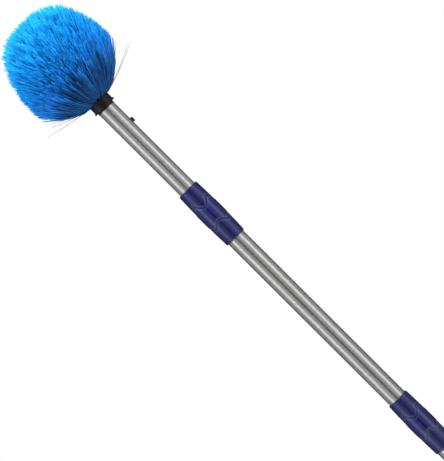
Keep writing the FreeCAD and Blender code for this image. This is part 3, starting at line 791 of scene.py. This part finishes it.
class COBWEB_OT_fittings(bpy.types.Operator):
    """Builds the end cap, and gives the pieces inside the pole their finishes"""

    bl_idname = "cobweb.fittings"
    bl_label = "End cap and inner fittings"

    def execute(self, context):
        softened_piece("end_cap", "hanging_cap", width=0.5 * MM, material=navy_finish(),
                       body="handle")
        finishes = {
            "middle_guide_foot": nylon_finish,
            "upper_guide_foot": nylon_finish,
            "lower_lock_shoe": nylon_finish,
            "upper_lock_shoe": nylon_finish,
            "tuft_block": black_finish,
            "block_screw": plated_finish,
            "tuft_anchors": plated_finish,
        }
        for node, finish in finishes.items():
            dress_node(node, finish())
        return {"FINISHED"}


class COBWEB_OT_spring(bpy.types.Operator):
    """Builds the bent strip spring that the button presses, on a mesh of its own"""

    bl_idname = "cobweb.spring"
    bl_label = "Button spring"

    def execute(self, context):
        spring = softened_piece("button_spring", "strip_spring", width=0.08 * MM, material=spring_finish(),
                                body="upper_pole")
        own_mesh(spring)
        return {"FINISHED"}


def strand_mesh(name, paths, radii, sides_resolution=0):
    """Round tapered strands along many paths, as one mesh with open ends."""
    curve = bpy.data.curves.new(name, "CURVE")
    curve.dimensions = "3D"
    curve.bevel_depth = 1.0
    curve.bevel_resolution = sides_resolution
    for path, radius in zip(paths, radii):
        spline = curve.splines.new("POLY")
        spline.points.add(len(path) - 1)
        spline.points.foreach_set("co", np.column_stack((path, np.ones(len(path)))).ravel())
        spline.points.foreach_set("radius", radius)
    holder = bpy.data.objects.new(name, curve)
    mesh = bpy.data.meshes.new_from_object(holder)
    mesh.name = name
    bpy.data.objects.remove(holder)
    bpy.data.curves.remove(curve)
    return mesh


def strand_attribute(mesh, name, values):
    """Stores one value for each point of the strands' paths on the ring of vertices round it."""
    around = len(mesh.vertices) // values.size
    attribute = mesh.attributes.new(name, "FLOAT", "POINT")
    attribute.data.foreach_set("value", np.repeat(values.ravel(), around).astype(np.float32))


def close_strands(mesh):
    """Closes the two ends of every strand."""
    bm = bmesh.new()
    bm.from_mesh(mesh)
    ends = [edge for edge in bm.edges if edge.is_boundary]
    bmesh.ops.holes_fill(bm, edges=ends)
    bmesh.ops.recalc_face_normals(bm, faces=bm.faces)
    bm.to_mesh(mesh)
    bm.free()


def fan_height():
    """Height of the centre that the tufts point from."""
    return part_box("tuft_block")[0].z + head_settings().fan_up


def bush_top():
    """Top of the bush above the fan centre."""
    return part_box("tuft_crown")[1].z - fan_height()


def vary(rng, lock_of, middle, lock_spread, strand_spread):
    """A value for each strand, spread about a middle by its lock and a little more by itself."""
    by_lock = rng.normal(middle, lock_spread, lock_of[-1] + 1)
    return by_lock[lock_of] + rng.normal(0.0, strand_spread, len(lock_of))


def lean_of(polar, reach, bend, sag):
    """Angle off the axis along strands that leave at an angle, droop over the rim and curve forward."""
    head = head_settings()
    outermost = math.radians(84.0)
    straight = 4.0 * MM
    droop_power = 4
    bend_power = 2.5
    share = polar / outermost
    droop = sag * head.rim_droop * share ** droop_power
    curl = 1 - np.exp(-np.maximum(reach - straight, 0.0) / head.bend_length)
    return polar + droop - bend * head.forward_bend * share ** bend_power * curl


def outline_radius(height):
    """Radius of the trimmed bush at a height over the fan centre."""
    shoulder_power = 2.2
    dome_power = 3.0
    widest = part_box("tuft_ring_third")[1].x
    widest_up = head_settings().widest_up
    share = np.clip((height - widest_up) / (bush_top() - widest_up), 0.0, 1.0)
    return widest * (1 - share ** shoulder_power) ** (1 / dome_power)


def aim_strands(polar, bearing, lock_of, rng):
    """Roots and directions of one tuft's strands; most strands of a lock lie close together."""
    head = head_settings()
    stray_share = 0.15
    stray_slack = math.radians(2.2)
    lock_slack = math.radians(0.55)
    locks = lock_of[-1] + 1
    total = len(lock_of)
    out = np.array((math.cos(bearing), math.sin(bearing), 0.0))
    side = np.array((-math.sin(bearing), math.cos(bearing), 0.0))
    axis = math.sin(polar) * out + np.array((0.0, 0.0, math.cos(polar)))
    over = np.cross(axis, side)
    opening = head.tuft_spread * np.interp(polar, TUFT_ANGLES, TUFT_OPENINGS)
    spread = opening * np.sqrt(rng.random(locks))
    turn = FULL_TURN * rng.random(locks)
    slack = np.where(rng.random(total) < stray_share, stray_slack, lock_slack)
    lift = (spread * np.cos(turn))[lock_of] + slack * rng.normal(size=total)
    slant = (spread * np.sin(turn))[lock_of] + slack * rng.normal(size=total)
    offset = lift[:, None] * over + slant[:, None] * side
    aim = axis + offset
    aim /= np.linalg.norm(aim, axis=1)[:, None]
    root = axis * head.root_reach + offset * head.root_radius / opening
    return root, aim


def grow_strands(root, aim, lock_of, rng):
    """Points along strands, a small step apart, as they droop, curve forward and sway to a side."""
    step = 1.5 * MM
    longest = 170.0 * MM
    sway_reach = 120.0 * MM
    bend_spread = 0.06
    least_bend = 0.9
    most_bend = 1.15
    usual_sag = 0.9
    sag_spread = 0.09
    locks = lock_of[-1] + 1
    reach = np.arange(0.0, longest, step)
    polar = np.arccos(aim[:, 2])
    bearing = np.arctan2(aim[:, 1], aim[:, 0])
    lock_bend = np.clip(rng.normal(1.0, bend_spread, locks), least_bend, most_bend)
    bend = lock_bend[lock_of] + head_settings().side_lean * np.cos(bearing)
    sag = rng.normal(usual_sag, sag_spread, locks)[lock_of]
    lean = lean_of(polar[:, None], reach, bend[:, None], sag[:, None])
    flat = np.stack((np.cos(bearing), np.sin(bearing)), axis=1)
    outward = np.sin(lean)[:, :, None] * flat[:, None, :]
    stride = np.concatenate((outward, np.cos(lean)[:, :, None]), axis=2)
    line = root[:, None, :] + np.cumsum(stride * step, axis=1)
    drift = vary(rng, lock_of, middle=0.0, lock_spread=3.5 * MM, strand_spread=1.2 * MM)
    sway = drift[:, None] * (reach / sway_reach) ** 2
    line[:, :, 0] -= sway * flat[:, 1:]
    line[:, :, 1] += sway * flat[:, :1]
    return line


def cut_strands(line, lock_of, shortest, rng):
    """Strands cut near the bush's outline, some locks well short of it, as a few points each."""
    short_share = 0.48
    longest_short = 0.96
    least_trim = 0.92
    most_trim = 1.035
    uneven = 0.97
    locks = lock_of[-1] + 1
    inside = np.hypot(line[:, :, 0], line[:, :, 1]) < outline_radius(line[:, :, 2])
    above = line[:, :, 2] > bush_top() - head_settings().strand_radius
    above[:, -1] = True
    trim = vary(rng, lock_of, middle=0.985, lock_spread=0.013, strand_spread=0.008)
    trim = np.clip(trim, least_trim, most_trim)
    is_short = rng.random(locks) < short_share
    short = np.where(is_short, rng.uniform(shortest, longest_short, locks), 1.0)[lock_of]
    length = np.argmax(above | ~inside, axis=1) * trim * short * rng.uniform(uneven, 1.0, len(lock_of))
    length = np.minimum(length, np.argmax(above, axis=1) - 1)

    at = length[:, None] * np.array(STRAND_SHARES)
    low = np.minimum(at.astype(int), line.shape[1] - 2)[:, :, None]
    part = at[:, :, None] - low
    return np.take_along_axis(line, low, 1) * (1 - part) + np.take_along_axis(line, low + 1, 1) * part


def tuft_strands(polar, bearing, locks, shortest, rng):
    """Paths of one tuft's strands from the fan centre, and their tones."""
    lock_of = np.repeat(np.arange(locks), head_settings().strands_per_lock)
    root, aim = aim_strands(polar, bearing, lock_of, rng)
    line = grow_strands(root, aim, lock_of, rng)
    paths = cut_strands(line, lock_of, shortest, rng)
    tones = vary(rng, lock_of, middle=0.5, lock_spread=0.22, strand_spread=0.10)
    return paths, np.clip(tones, 0.0, 1.0)


def bush_ring(polar, bearings, locks, shortest, rng):
    """Paths, thicknesses, reaches and tones of all the strands in one ring of tufts."""
    thinnest = 0.8
    thickest = 1.15
    tufts = [tuft_strands(polar, bearing, locks, shortest, rng) for bearing in bearings]
    paths = np.concatenate([paths for paths, tones in tufts])
    tones = np.concatenate([tones for paths, tones in tufts])
    reaches = np.clip(np.linalg.norm(paths, axis=2) / bush_top(), 0.0, 1.0)
    paths[:, :, 2] += fan_height()
    taper = np.interp(STRAND_SHARES, TAPER_SHARES, TAPER_WIDTHS)
    own_width = rng.uniform(thinnest, thickest, len(paths))[:, None]
    radii = taper * head_settings().strand_radius * own_width
    return paths, radii, reaches, np.repeat(tones[:, None], paths.shape[1], axis=1)


class COBWEB_OT_bristles(bpy.types.Operator):
    """Builds the five rings of bristle tufts"""

    bl_idname = "cobweb.bristles"
    bl_label = "Bristle tufts"

    def execute(self, context):
        rng = np.random.default_rng(head_settings().seed)
        for index, (node, degrees, count, locks, shortest) in enumerate(TUFT_RINGS):
            # every other ring stands half a tuft round, so its tufts fill the gaps of the last
            start = math.pi / count if index % 2 else 0.0
            bearings = [start + FULL_TURN * tuft / count for tuft in range(count)]
            paths, radii, reaches, tones = bush_ring(math.radians(degrees), bearings, locks, shortest, rng)
            name = node + "_strands"
            mesh = strand_mesh(name, paths, radii)
            strand_attribute(mesh, "strand_reach", reaches)
            strand_attribute(mesh, "strand_along", np.tile(STRAND_SHARES, (len(paths), 1)))
            strand_attribute(mesh, "strand_tone", tones)
            close_strands(mesh)
            show_piece(name, mesh, bristle_finish(), "upper_pole", node)
        return {"FINISHED"}


class COBWEB_OT_filaments(bpy.types.Operator):
    """Builds the few long clear filaments that stand out past the bush"""

    bl_idname = "cobweb.filaments"
    bl_label = "Long filaments"

    def execute(self, context):
        radius = head_settings().filament_radius
        tube_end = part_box("upper_tube")[1].z
        root_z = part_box("long_filaments")[0].z + radius
        root_out = 11.8 * MM
        rise_power = 1.5
        points = 12
        taper_shares = (0.0, 0.7, 1.0)
        taper_widths = (1.0, 0.9, 0.55)
        shares = np.linspace(0.0, 1.0, points)
        taper = radius * np.interp(shares, taper_shares, taper_widths)
        paths = []
        for degrees, tip_out, tip_up in LONG_FILAMENTS:
            bearing = math.radians(degrees)
            outward = np.array((math.cos(bearing), math.sin(bearing), 0.0))
            run = root_out + (tip_out * MM - root_out) * shares
            path = run[:, None] * outward
            path[:, 2] = root_z + (tube_end + tip_up * MM - root_z) * shares ** rise_power
            paths.append(path)
        name = "long_clear_filaments"
        mesh = strand_mesh(name, paths, [taper] * len(paths), sides_resolution=2)
        close_strands(mesh)
        show_piece(name, mesh, clear_finish(), "upper_pole", "long_filaments")
        return {"FINISHED"}


def studio_world(strength):
    """Soft room: two bright panels beside the camera, a dark gap between them, grey walls, pale ceiling."""
    fade_span = (0.2, 0.6)
    fade_values = (1.0, 0.2)
    ceiling_span = (0.65, 0.85)
    ceiling_grey = (0.95, 0.95, 0.95)
    backdrop_white = (1.0, 1.0, 1.0)
    world = bpy.data.worlds.new("studio")
    world.use_nodes = True
    tree = world.node_tree
    parts = add_node(tree, "ShaderNodeSeparateXYZ")
    tree.links.new(add_node(tree, "ShaderNodeTexCoord").outputs["Generated"], parts.inputs["Vector"])
    front = add_math(tree, "MULTIPLY", parts.outputs["Y"], -1.0)
    bearing = add_math(tree, "ABSOLUTE", add_math(tree, "ARCTAN2", parts.outputs["X"], front))
    share = add_math(tree, "DIVIDE", bearing, math.pi)
    walls = add_ramp(tree, share, [(place, (level,) * 3) for place, level in ROOM_WALLS])
    steepness = add_math(tree, "ABSOLUTE", parts.outputs["Z"])
    faded = add_mix(tree, 1.0, walls, add_span(tree, steepness, fade_span, fade_values), blend="MULTIPLY")
    ceiling = add_span(tree, parts.outputs["Z"], ceiling_span)
    room = tree.nodes["Background"]
    feed_named(tree, room, {"Color": add_mix(tree, ceiling, faded, ceiling_grey), "Strength": strength})
    backdrop = add_node(tree, "ShaderNodeBackground")
    backdrop.inputs["Color"].default_value = opaque(backdrop_white)
    seen = add_node(tree, "ShaderNodeLightPath").outputs["Is Camera Ray"]
    mix = add_node(tree, "ShaderNodeMixShader")
    sources = (seen, room.outputs["Background"], backdrop.outputs["Background"])
    for socket, source in zip(mix.inputs, sources):
        tree.links.new(source, socket)
    tree.links.new(mix.outputs["Shader"], tree.nodes["World Output"].inputs["Surface"])
    return world


def aim_matrix(place, target, roll_up):
    """The place and turn of a light or camera that looks at a target with a given up direction."""
    back = (place - target).normalized()
    right = roll_up.cross(back).normalized()
    up = back.cross(right)
    turn = Matrix((right, up, back)).transposed().to_4x4()
    return Matrix.Translation(place) @ turn


def add_floor(radius):
    """A round pale floor under the pole's butt end."""
    bm = bmesh.new()
    bmesh.ops.create_circle(bm, cap_ends=True, segments=160, radius=radius)
    mesh = bpy.data.meshes.new("floor")
    bm.to_mesh(mesh)
    bm.free()
    mesh.materials.append(floor_finish())
    add_object("floor", mesh)


def add_light(name, power, place):
    """A soft round light that faces the head and isn't seen in reflections."""
    lamp = bpy.data.lights.new(name, "AREA")
    lamp.energy = power
    lamp.shape = "DISK"
    lamp.size = 0.6
    light = add_object(name, lamp)
    light.matrix_world = aim_matrix(place, HEAD_MIDDLE, Vector((0.0, 0.0, 1.0)))
    light.visible_glossy = False


def add_camera(focal_length, field):
    """A camera in front of the pole, as far off as a field of a given height needs."""
    lens = bpy.data.cameras.new("camera")
    lens.sensor_fit = "VERTICAL"
    lens.sensor_height = 36.0
    lens.lens = focal_length
    camera = add_object("camera", lens)
    distance = focal_length / lens.sensor_height * field
    place = PICTURE_MIDDLE - Vector((0.0, distance, 0.0))
    camera.matrix_world = aim_matrix(place, PICTURE_MIDDLE, PICTURE_UP)
    return camera


class COBWEB_OT_stage(bpy.types.Operator):
    """Sets up the floor, the light and the camera"""

    bl_idname = "cobweb.stage"
    bl_label = "Stage"

    def execute(self, context):
        scene = context.scene
        stage = scene.brush_stage
        add_floor(stage.floor_radius)
        scene.world = studio_world(stage.room_strength)
        scene.view_settings.view_transform = "Standard"
        add_light("left_light", stage.left_power, LEFT_PLACE)
        add_light("right_light", stage.right_power, RIGHT_PLACE)
        add_light("back_light", stage.back_power, BACK_PLACE)
        scene.camera = add_camera(stage.lens, stage.field)
        return {"FINISHED"}


OPERATORS = (
    COBWEB_OT_tubes,
    COBWEB_OT_sleeves,
    COBWEB_OT_collar,
    COBWEB_OT_fittings,
    COBWEB_OT_spring,
    COBWEB_OT_bristles,
    COBWEB_OT_filaments,
    COBWEB_OT_stage,
)


class COBWEB_PT_panel(bpy.types.Panel):
    """Lists the steps that build the brush, and its settings"""

    bl_label = "Cobweb brush"
    bl_space_type = "VIEW_3D"
    bl_region_type = "UI"
    bl_category = "Brush"

    def draw(self, context):
        column = self.layout.column()
        for operator in OPERATORS:
            column.operator(operator.bl_idname)
        for name, group in SETTINGS.items():
            box = self.layout.box()
            for label in group.__annotations__:
                box.prop(getattr(context.scene, name), label)


def register():
    """Makes the settings, the operators and the panel known."""
    for name, group in SETTINGS.items():
        bpy.utils.register_class(group)
        setattr(bpy.types.Scene, name, PointerProperty(type=group))
    for operator in OPERATORS:
        bpy.utils.register_class(operator)
    bpy.utils.register_class(COBWEB_PT_panel)


def unregister():
    """Takes the panel, the operators and the settings away again."""
    bpy.utils.unregister_class(COBWEB_PT_panel)
    for operator in reversed(OPERATORS):
        bpy.utils.unregister_class(operator)
    for name, group in SETTINGS.items():
        delattr(bpy.types.Scene, name)
        bpy.utils.unregister_class(group)


def main():
    """Builds every piece and the stage."""
    register()
    bpy.ops.cobweb.tubes()
    bpy.ops.cobweb.sleeves()
    bpy.ops.cobweb.collar()
    bpy.ops.cobweb.fittings()
    bpy.ops.cobweb.spring()
    bpy.ops.cobweb.bristles()
    bpy.ops.cobweb.filaments()
    bpy.ops.cobweb.stage()


if __name__ == "__main__":
    main()
